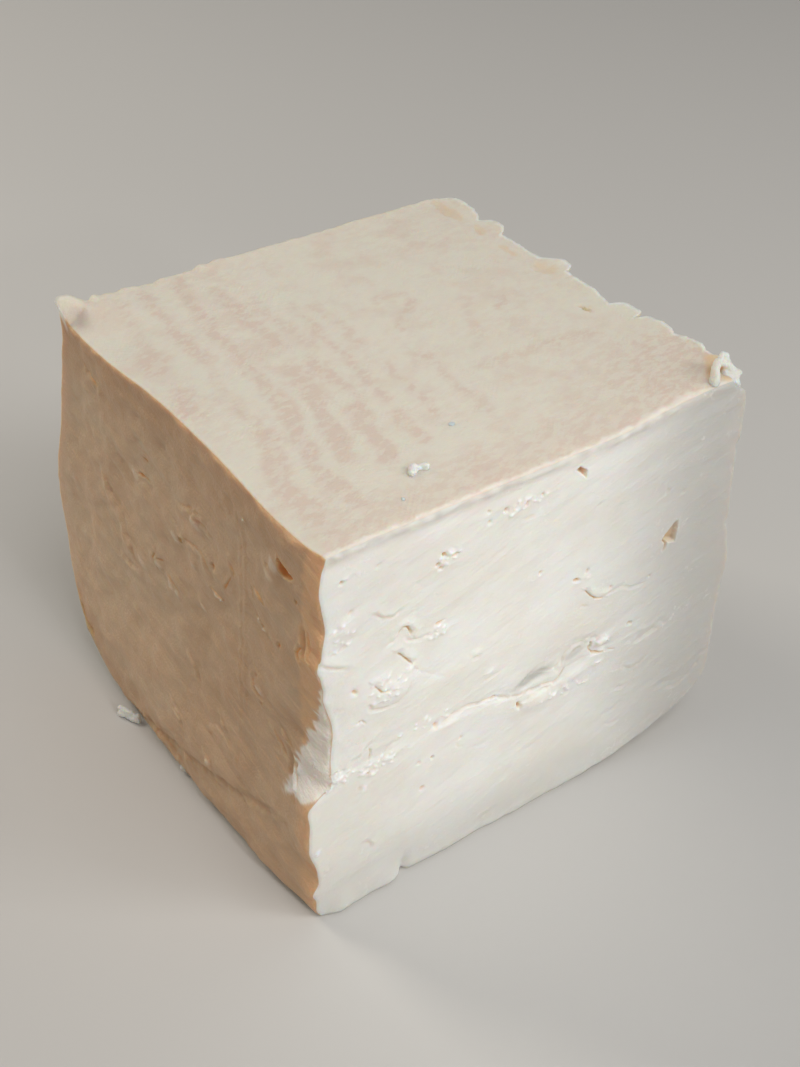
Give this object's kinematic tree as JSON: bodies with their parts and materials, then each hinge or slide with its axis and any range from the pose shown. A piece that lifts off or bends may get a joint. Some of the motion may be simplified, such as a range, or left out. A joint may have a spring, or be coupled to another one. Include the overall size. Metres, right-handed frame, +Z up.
{
  "type": "tofu block",
  "caption": "Rough-cut block of pressed tofu with two knife-cut sides, two sagging mould walls, a ragged lip of skin and one curled corner.",
  "frame": {"origin": "on the board plane, under the middle of the block's bounding box", "axes": "+Z up; -Y the white knife-cut front; -X the other knife cut; +X and +Y the mould's sagging walls"},
  "size_m": [0.1154, 0.1128, 0.106],
  "materials": {
    "curd": "moist matt cream-white curd"
  },
  "bodies": {
    "root": {"tofu_block": "curd"}
  },
  "joints": []
}
